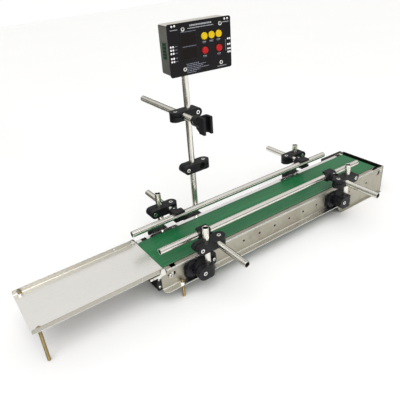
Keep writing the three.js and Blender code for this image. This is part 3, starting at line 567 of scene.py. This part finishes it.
# ------------------------------------------------------------------ tubes
def tube(node, axis, a, b, p, q, body):
    r, ri, c = 6.35, 5.1, 0.35
    prof = [(ri, a + c), (ri + c, a), (r - c, a), (r, a + c), (r, b - c), (r - c, b), (ri + c, b), (ri, b - c)]
    me = lathe(prof, 56, closed=True)
    # tube bore coloured near-black: painted shade
    paint(me, lambda f: math.hypot(f.center.x, f.center.y) < (ri + 0.1), 1)
    c0 = {"z": (p, q, 0), "y": (p, 0, q), "x": (0, p, q)}[axis]
    xf(me, Matrix.Translation(c0) @ AX[axis])
    piece(node + "_tube", me, ["tube_" + axis, "tube_in"], body, [node], sharp=30)
M["tube_y"] = M["tube_x"]; M["tube_z"] = M["tube_x"]
for k, body in (("fl", "front_posts"), ("fr", "front_posts"), ("bl", "back_posts"), ("br", "back_posts")):
    a, b = wbox("post_" + k)
    tube("post_" + k, "z", a.z, b.z, (a.x + b.x) / 2, (a.y + b.y) / 2, body)
a, b = wbox("mast"); tube("mast", "z", a.z, b.z, (a.x + b.x) / 2, (a.y + b.y) / 2, "mast")
for k, body in (("rod_fl", "front_guide"), ("rod_fr", "front_guide"), ("rod_bl", "back_guide"), ("rod_br", "back_guide"), ("mast_rod", "sensor_rod")):
    a, b = wbox(k)
    tube(k, "y", a.y, b.y, (a.x + b.x) / 2, (a.z + b.z) / 2, body)
for k, body in (("rail_front", "front_guide"), ("rail_back", "back_guide")):
    a, b = wbox(k)
    tube(k, "x", a.x, b.x, (a.y + b.y) / 2, (a.z + b.z) / 2, body)

# ------------------------------------------------------------------ cross clamps
def cross_clamp(node, xp, y, z, d, body):
    """Post bore along Z at the origin, rod bore along Y 18 mm away, each closed by its own screw across a slit."""
    zc, hh, hw = -1.5, 9.5, 12.5
    A = [(42, zc + hh), (42, zc - hh)] + arc(-17, zc, hh, -90, -270, 22)
    body_m = m_poly([(p * d, q) for p, q in A], "y", -hw, hw)
    B = arc(29, 0, hw, -90, 90, 22) + [(-30, hw), (-30, -hw)]
    crop = m_poly([(p * d, q) for p, q in B], "z", -13, 13)
    cuts = [m_cyl("z", -20, 20, 0, 0, 6.5, 48), m_cyl("y", -20, 20, 18 * d, 0, 6.5, 48),
            m_box(-40 * d, -5 * d, -0.8, 0.8, -16, 14), m_box(23 * d, 50 * d, -15, 15, -0.8, 0.8),
            m_cyl("y", -15, 1.6 - hw, -17 * d, zc, 4.9, 32), m_cyl("y", hw - 2.2, 15, -17 * d, zc, 4.7, 6),
            m_cyl("z", zc + hh - 1.6, 15, 29 * d, 0, 4.9, 32), m_cyl("z", -15, zc - hh + 2.2, 29 * d, 0, 4.7, 6)]
    me = csg(body_m, inter=[crop], cuts=cuts, bevel=0.9, seg=3, angle=35)
    piece(node + "_moulding", me, "nylon", body, [node], sharp=32, place=Matrix.Translation((xp, y, z)))
    add_screw(body, at(socket_screw(4.3, 3.4, 4.0), xp - 17 * d, y - hw - 0.2, z + zc, "-y", 0.3))
    add_screw(body, at(socket_screw(4.3, 3.4, 4.0), xp + 29 * d, y, z + zc + hh + 0.2, "+z", 0.2))
    for f, px, py, pz in (("+y", xp - 17 * d, y + hw - 0.4, z + zc), ("-z", xp + 29 * d, y, z + zc - hh + 0.4)):
        nut = csg(m_cyl("z", -2.2, 0, 0, 0, 4.1, 6), cuts=[m_cyl("z", -3, 1, 0, 0, 2.0, 20)], bevel=0.25, seg=2)
        add_screw(body, at(nut, px, py, pz, f))
for n, xp, y, z, d, b in (("clamp_fl", 77, -33.6, 34, 1, "front_clamps"), ("clamp_fr", 470, -33.6, 34, -1, "front_clamps"),
                          ("clamp_bl", 75, 133.6, 34, 1, "back_clamps"), ("clamp_br", 476, 133.6, 34, -1, "back_clamps"),
                          ("mast_clamp_upper", 166, 133.6, 226, -1, "sensor_clamp"), ("mast_clamp_lower", 166, 133.6, 106, 1, "spare_clamp")):
    cross_clamp(n, xp, y, z, d, b)

# ------------------------------------------------------------------ post brackets
def bracket(node, x, back):
    yp, yc = -12.3, -33.6
    base = m_poly([(x + p, -22 + q) for p, q in rrect(-42, 32, -16, 16, 8)], "y", yp, yp - 4)
    stadium = m_poly(arc(x - 1.5, -20.5, 14.5, -90, 90, 24) + arc(x - 15, -20.5, 14.5, 90, 270, 24), "y", yc - 15, yp + 1)
    plan = [(x - 30, yc - 13), (x, yc - 13)] + arc(x, yc, 13, -90, 0, 12)[1:] + [(x + 12.5, yp + 0.5), (x - 15, yp + 0.5), (x - 15, yc + 13), (x - 30, yc + 13)]
    lobe = csg(m_poly(plan, "z", -37, -4), inter=[stadium], bevel=0)
    adds = [m_cyl("y", yp, yp - 9.7, x - 25.6, -21, 16, 64), m_cyl("y", yp, yp - 6, x + 25.6, -23, 6, 40), lobe]
    cuts = [m_cyl("z", -40, 0, x, yc, 6.5, 48), m_box(x - 40, x - 5, yc - 0.8, yc + 0.8, -40, 0),
            m_cyl("y", yp - 12, yp - 6.5, x - 25.6, -21, 5.0, 32), m_cyl("y", yc - 15, yc - 10.4, x - 15, -20.5, 4.8, 32)]
    me = csg(base, adds=adds, cuts=cuts, bevel=0.7, seg=3, angle=35)
    if back: xf(me, MIR)
    piece(node + "_moulding", me, "nylon", "root", [node], sharp=32)
    f, Y = ("+y", lambda v: 100 - v) if back else ("-y", lambda v: v)
    add_screw("root", at(socket_screw(4.3, 3.2, 4.0), x - 25.6, Y(yp - 8.6), -21, f, 0.5))
    add_screw("root", at(cross_screw(4.0, 2.0), x + 25.6, Y(yp - 6.0), -23, f, 0.4))
    add_screw("root", at(socket_screw(4.3, 3.6, 4.0), x - 15, Y(yc - 12.9), -20.5, f, 0.1))
for n, x, bk in (("bracket_fl", 77, False), ("bracket_fr", 470, False), ("bracket_bl", 75, True), ("bracket_br", 476, True), ("bracket_mast", 166, True)):
    bracket(n, x, bk)

# ------------------------------------------------------------------ rail jaws
def jaw(node, x, yr, z, s, body, vertical=False, L=12.0, reach=20.5):
    """Built with the rail channel along X at the origin and the boss towards -Y."""
    H = 10.5
    prof = ([(-10, -H + 3), (-10, H - 3)] + arc(-7, H - 3, 3, 180, 90, 4)[1:] + [(8, H), (8, 5.7)] + arc(0, 0, 6.5, 60, 300, 26) + [(8, -5.7), (8, -H), (-7, -H)] + arc(-7, -H + 3, 3, 270, 180, 4)[1:-1])
    blk = m_poly(prof, "x", -L, L)
    yb = -reach
    adds = [m_cyl("y", yb, -9, 0, 0, 10.5, 56)]
    if reach > 30:      # long boss flares into the block
        adds.append(m_poly([(-L + 1.0, -10.5), (-L + 1.0, -9.5), (L - 1.0, -9.5), (L - 1.0, -10.5), (9.5, -20), (-9.5, -20)], "z", -8.6, 8.6))
    cuts = [m_cyl("y", yb - 1, -10.4, 0, 0, 6.5, 48), m_cyl("z", 7, 12, 0, yb + 5.5, 2.7, 28)]
    me = csg(blk, adds=adds, cuts=cuts, bevel=0.8, seg=3, angle=35)
    P = Matrix.Translation((x, yr, z)) @ (Matrix.Rotation(math.pi, 4, "Z") if s < 0 else Matrix.Identity(4)) @ (Matrix.Rotation(math.pi / 2, 4, "Y") if vertical else Matrix.Identity(4))
    piece(node + "_moulding", me, "nylon", body, [node], sharp=32, place=P)
    sc = socket_screw(2.5, 3.0, 2.5)
    xf(sc, P @ Matrix.Translation((0, yb + 5.5, 10.3)))
    add_screw(body, sc)
jaw("jaw_fl", 95, 3, 34, 1, "front_guide"); jaw("jaw_fr", 452, 3, 34, 1, "front_guide")
jaw("jaw_bl", 93, 87.2, 34, -1, "back_guide"); jaw("jaw_br", 458, 87.2, 34, -1, "back_guide")
jaw("mast_jaw", 148, 47, 226, -1, "sensor_jaw", True, 16.5, 35.0)

# ------------------------------------------------------------------ control box
BOX = Matrix.Translation((166, 133.6, 0)) @ Matrix.Rotation(math.radians(-5.7), 4, "Z")
PC = (12.5, 356.7); PW, PH, PY, PT = 128.0, 90.0, -48.6, 2.0
BTN = [("button_yellow_1", 7.8, 17.6, "yellow", "yellow_1"), ("button_yellow_2", 22.6, 17.6, "yellow", "yellow_2"), ("button_yellow_3", 37.4, 17.6, "yellow", "yellow_3"),
       ("button_red_1", 7.8, -7.0, "red", "red_1"), ("button_red_2", 37.4, -7.0, "red", "red_2")]
def control_box():
    cx, cz = PC
    pan = m_poly(rrect(cx - PW / 2, cx + PW / 2, cz - PH / 2, cz + PH / 2, 4.0, 8), "y", PY, PY + PT)
    me = csg(pan, cuts=[m_cyl("y", PY - 2, PY + PT + 2, cx + u, cz + v, 7.25, 48) for _, u, v, _, _ in BTN], bevel=0.45, seg=3, angle=35)
    piece("box_panel_plate", me, "panel", "control_box", ["box_panel"], place=BOX)
    # case: pressed shell with six slots in the bottom and the terminal cut-out; its front edge and top faces take a
    # light colour as painted highlight
    x0, x1, z0, z1 = cx - PW / 2 + 2, cx + PW / 2 - 2, cz - PH / 2 + 2, cz + PH / 2 - 2
    y0, y1 = PY + PT + 0.3, -9.5
    outer = m_poly(rrect(x0, x1, z0, z1, 3.0, 6), "y", y0, y1)
    inner = m_poly(rrect(x0 + 2, x1 - 2, z0 + 2, z1 - 2, 1.6, 5), "y", y0 - 1, y1 - 2)
    cut = [inner, m_box(x0 - 1, x0 + 3, -33, -21, cz - 15.5, cz + 13.5)]
    for k in range(6): cut.append(m_box(cx - 30 + 9 * k, cx - 27 + 9 * k, -34, -18, z0 - 1, z0 + 3))
    case = csg(outer, cuts=cut, bevel=0.6, seg=3, angle=35)
    # front edge and top faces take the light case colour: painted highlight
    paint(case, lambda p: p.center.y < y0 + 0.75 or (p.normal.z > 0.6 and p.center.z > z1 - 1.0), 1)
    piece("box_case_shell", case, ["case", "case_edge"], "control_box", ["box_body"], place=BOX)
    # light ring around the front of the shell: painted highlight along the edge
    rim = csg(m_poly(rrect(x0 - 0.45, x1 + 0.45, z0 - 0.45, z1 + 0.45, 3.2, 6), "y", y0, y0 + 3.4), cuts=[m_poly(rrect(x0 + 1.4, x1 - 1.4, z0 + 1.4, z1 - 1.4, 1.6, 5), "y", y0 - 1, y0 + 5)], bevel=0.3, seg=2)
    piece("box_case_rim_painted_highlight", rim, "case_edge", "control_box", place=BOX)
    # terminal block: five ways with wire mouths and screw heads
    tb = m_box(x0 - 1.2, x0 + 9, -32.6, -21.4, cz - 15.1, cz + 13.1)
    cuts = []
    for k in range(5):
        zc = cz - 12.3 + 5.65 * k
        cuts.append(m_box(x0 - 3, x0 + 2.5, -31.4, -27.2, zc - 1.8, zc + 1.8))
        cuts.append(m_cyl("x", x0 - 3, x0 + 1.0, -24.2, zc, 1.7, 20))
    tm = csg(tb, cuts=cuts, bevel=0.25, seg=2)
    # wire mouths coloured near-black: painted shade
    paint(tm, lambda p: x0 - 0.6 < p.center.x < x0 + 2.7 and -31.5 < p.center.y < -27.1, 1)
    piece("terminal_block_housing", tm, ["green_t", "socket_shade"], "control_box", ["terminal_block"], place=BOX)
    tscr = [at(cross_screw(1.5, 0.35), x0 + 0.7, -24.2, cz - 12.3 + 5.65 * k, "-x", 0.3 * k) for k in range(5)]
    piece("terminal_screws", joined(tscr), ["screw", "socket_shade"], "control_box", place=BOX)
    # clamp on the mast
    mt = m_box(-12, 12, -9.2, 2, cz - 14, cz + 12)
    mt = csg(mt, adds=[m_cyl("z", cz - 14, cz + 12, 0, 0, 12.5, 64)], cuts=[m_box(-20, 20, -20, -9.2, cz - 20, cz + 20), m_cyl("z", cz - 20, cz + 20, 0, 0, 6.5, 48), m_box(-0.8, 0.8, 4, 20, cz - 20, cz + 20)], bevel=0.7, seg=3)
    piece("box_mount_moulding", mt, "nylon", "control_box", ["box_mount"], place=BOX)
    # corner screws of the panel
    sc = [at(socket_screw(3.6, 2.6, 3.6), cx + u, PY - 2.2, cz + v, "-y", 0.3 * i) for i, (u, v) in enumerate(((-34.5, 34.5), (40.7, 34.6), (-35.8, -33.2), (40.2, -33.2)))]
    piece("box_panel_screws", joined(sc), ["screw", "socket_shade"], "control_box", place=BOX)
    # display windows in a thin frame
    wins, frames = [], []
    for xa, xb, za, zb in ((-40.5, -8.5, 6.9, 27.2), (-38.5, -7.3, -17.5, 2.2)):
        wins.append(csg(m_poly(rrect(cx + xa + 0.9, cx + xb - 0.9, cz + za + 0.9, cz + zb - 0.9, 0.8, 4), "y", PY - 0.45, PY - 0.03), bevel=0.12, seg=2))
        frames.append(csg(m_poly(rrect(cx + xa, cx + xb, cz + za, cz + zb, 1.4, 5), "y", PY - 0.6, PY - 0.02), cuts=[m_poly(rrect(cx + xa + 0.8, cx + xb - 0.8, cz + za + 0.8, cz + zb - 0.8, 0.9, 4), "y", PY - 2, PY + 2)], bevel=0.12, seg=2))
    piece("display_windows", joined(wins), "display", "control_box", place=BOX)
    piece("display_frames", joined(frames), "black", "control_box", place=BOX)
    # printed dashes and lamp dots
    def bar(u0, u1, v, h):
        return m_box(cx + u0, cx + u1, PY - 0.10, PY - 0.01, cz + v - h / 2, cz + v + h / 2)
    def dashes(u0, u1, v, h, lo=1.6, hi=3.6, gap=0.7):
        out, u = [], u0
        while u < u1 - 0.6:
            l = min(RNG.uniform(lo, hi), u1 - u)
            out.append(bar(u, u + l, v, h)); u += l + gap
        return out
    white, dim = [], []
    white += dashes(-20, 24, 38.6, 2.6, 2.0, 3.2, 0.8) + dashes(-24, 28, 34.2, 1.3)
    dim += dashes(-38, -8, 29.4, 0.9) + dashes(-36, -9, 4.6, 1.0, 1.2, 3.0)
    for u, v in ((7.8, 8.0), (22.6, 8.0), (37.4, 8.2), (7.8, -16.4), (37.4, -16.8)):
        white += dashes(u - 3.6, u + 3.6, v, 1.2, 1.4, 2.4); dim += dashes(u - 3.2, u + 3.4, v - 2.0, 0.8, 1.2, 2.2)
    for i, v in enumerate((-25.6, -28.6, -31.6, -34.6, -37.6, -40.6)):
        dim += dashes(-31, (-6, 8, 2, 15, -4, -12)[i], v, 1.15, 2.0, 5.0, 0.9)
    white += dashes(33, 52, -40.0, 1.3, 1.5, 3.5)
    white += dashes(-58, -44, 34.8, 1.2) + dashes(46, 61, 35.6, 1.2)
    for v in (7.8, 2.3, -3.3, -11.7, -17.2): dim += dashes(-51.2, -46.6, v, 1.1, 1.2, 2.0)
    for v in (4.0, 0.5, -3.0, -6.5, -10.0, -13.5): dim += [bar(51.6, 52.8, v, 2.3)]
    piece("panel_print_white", joined(white), "print", "control_box", place=BOX, sharp=20)
    piece("panel_print_dim", joined(dim), "print_blue", "control_box", place=BOX, sharp=20)
    dots = []
    for v in (7.8, 2.3, -3.3, -11.7, -17.2): dots += [(-59.2, v), (-54.8, v)]
    for v in (5.9, -3.9, -11.8, -17.5): dots += [(57.2, v), (61.2, v)]
    dots += [(-54.6, 41.0), (-49.0, 41.4), (51.4, 40.6), (57.4, 40.8)]
    dm = [at(lathe([(0, 0), (1.75, 0), (1.75, 0.1), (1.5, 0.4), (0.9, 0.62), (0, 0.7)], 20), cx + u, PY - 0.01, cz + v, "-y") for u, v in dots]
    piece("panel_lamp_dots", joined(dm), "dot", "control_box", place=BOX)
    # bezels and push buttons
    for n, u, v, mt, b in BTN:
        prof = [(0, -3.2), (6.9, -3.2), (6.9, 0.25), (6.7, 0.45), (6.25, 0.45), (6.2, 0.5), (6.15, 2.0), (5.9, 2.6), (5.4, 3.05), (4.9, 3.15), (4.6, 2.95), (4.1, 2.8), (2.2, 2.9), (0, 2.95)]
        cap = lathe(prof, 56)
        paint(cap, lambda f: math.hypot(f.center.x, f.center.y) > 6.2 or f.center.z < 0.4, 1)
        piece(n + "_cap", at(cap, cx + u, PY, cz + v, "-y"), [mt, "black"], b, [n], sharp=50, place=BOX)
control_box()

for body, ms in SCREWS.items():
    piece("fasteners_" + body, joined(ms), ["screw", "socket_shade"], body)

# ------------------------------------------------------------------ stage, light, camera
def stage_mat():
    m, nt, b, co = new_mat("floor_pale")
    c = noise(nt, co, 2.0, 2.0)
    nt.links.new(mixc(nt, c, (0.86, 0.86, 0.86), (0.89, 0.89, 0.89)), b.inputs["Base Color"])
    b.inputs["Roughness"].default_value = 0.9
    return m
bpy.ops.mesh.primitive_plane_add(size=9, location=(0, 0, -0.0006))
floor = bpy.context.object; floor.name = "studio_floor"
floor.data.materials.append(stage_mat())
# dark card beside the set, seen only in polished metal
cm, cnt, cb, cco = new_mat("card_dark")
cnt.links.new(mixc(cnt, noise(cnt, cco, 3.0, 2.0), (0.055, 0.048, 0.036), (0.085, 0.075, 0.058)), cb.inputs["Base Color"])
cb.inputs["Roughness"].default_value = 0.9
for i, (ax, bx, ay, by) in enumerate(((-1.9, -0.16, -0.05, 1.7), (-1.9, -0.47, -1.1, -0.06))):
    card = bpy.data.objects.new("studio_card_%d" % i, m_box(ax, bx, ay, by, -0.0003, -0.0001))
    bpy.context.scene.collection.objects.link(card)
    card.data.materials.append(cm)
    card.visible_camera = card.visible_diffuse = card.visible_shadow = card.visible_transmission = False

wd = bpy.data.worlds.new("studio"); bpy.context.scene.world = wd
wd.use_nodes = True
nt = wd.node_tree; nt.nodes.clear()
out = nt.nodes.new("ShaderNodeOutputWorld")
bg = nt.nodes.new("ShaderNodeBackground"); bg2 = nt.nodes.new("ShaderNodeBackground")
mx = nt.nodes.new("ShaderNodeMixShader"); lp = nt.nodes.new("ShaderNodeLightPath")
tc = nt.nodes.new("ShaderNodeTexCoord"); sp = nt.nodes.new("ShaderNodeSeparateXYZ")
nt.links.new(tc.outputs["Generated"], sp.inputs[0])
cr = nt.nodes.new("ShaderNodeValToRGB")
cr.color_ramp.elements[0].position = 0.0; cr.color_ramp.elements[0].color = (0.42, 0.40, 0.36, 1)
cr.color_ramp.elements[1].position = 1.0; cr.color_ramp.elements[1].color = (0.98, 0.98, 0.98, 1)
for p, c in ((0.05, (0.22, 0.21, 0.18)), (0.13, (0.09, 0.085, 0.07)), (0.22, (0.10, 0.095, 0.08)), (0.32, (0.60, 0.59, 0.55)), (0.44, (0.93, 0.92, 0.90))):
    e = cr.color_ramp.elements.new(p); e.color = (*c, 1)
nt.links.new(sp.outputs["Z"], cr.inputs["Fac"])
nt.links.new(cr.outputs["Color"], bg.inputs["Color"]); bg.inputs["Strength"].default_value = 0.82
bg2.inputs["Color"].default_value = (1, 1, 1, 1); bg2.inputs["Strength"].default_value = 1.0
nt.links.new(lp.outputs["Is Camera Ray"], mx.inputs[0])
nt.links.new(bg.outputs[0], mx.inputs[1]); nt.links.new(bg2.outputs[0], mx.inputs[2])
nt.links.new(mx.outputs[0], out.inputs["Surface"])

def lamp(name, kind, loc, target, **kw):
    L = bpy.data.lights.new(name, kind)
    for k, v in kw.items(): setattr(L, k, v)
    o = bpy.data.objects.new(name, L); bpy.context.scene.collection.objects.link(o)
    o.location = loc
    o.rotation_mode = "QUATERNION"
    o.rotation_quaternion = (Vector(target) - Vector(loc)).to_track_quat("-Z", "Y")
    return o
lamp("soft_sun", "SUN", (-1.0, -1.6, 3.0), (0, 0, 0), energy=1.55, angle=math.radians(60))
lamp("soft_key", "AREA", (-0.9, -1.3, 2.3), (0, 0, 0.1), energy=9, size=1.6)

cam = bpy.data.cameras.new("camera"); co = bpy.data.objects.new("camera", cam)
bpy.context.scene.collection.objects.link(co)
Rr = ((0.81956473, -0.56838182, -0.07249664), (-0.33587936, -0.37405377, -0.86444713), (0.46421839, 0.73282050, -0.49746900))
cx_, cy_, cz_ = (Vector(r) for r in Rr)
rot = Matrix((cx_, -cy_, -cz_)).transposed()
co.matrix_world = Matrix.Translation(W(-294.949, -592.600, 514.248)) @ rot.to_4x4()
cam.sensor_width = 36.0; cam.lens = 443.224 * 36 / 400
cam.shift_x = (200 - 194.732) / 400; cam.shift_y = (200.365 - 200) / 400
cam.clip_start, cam.clip_end = 0.02, 50
bpy.context.scene.camera = co
bpy.context.scene.view_settings.view_transform = "Standard"
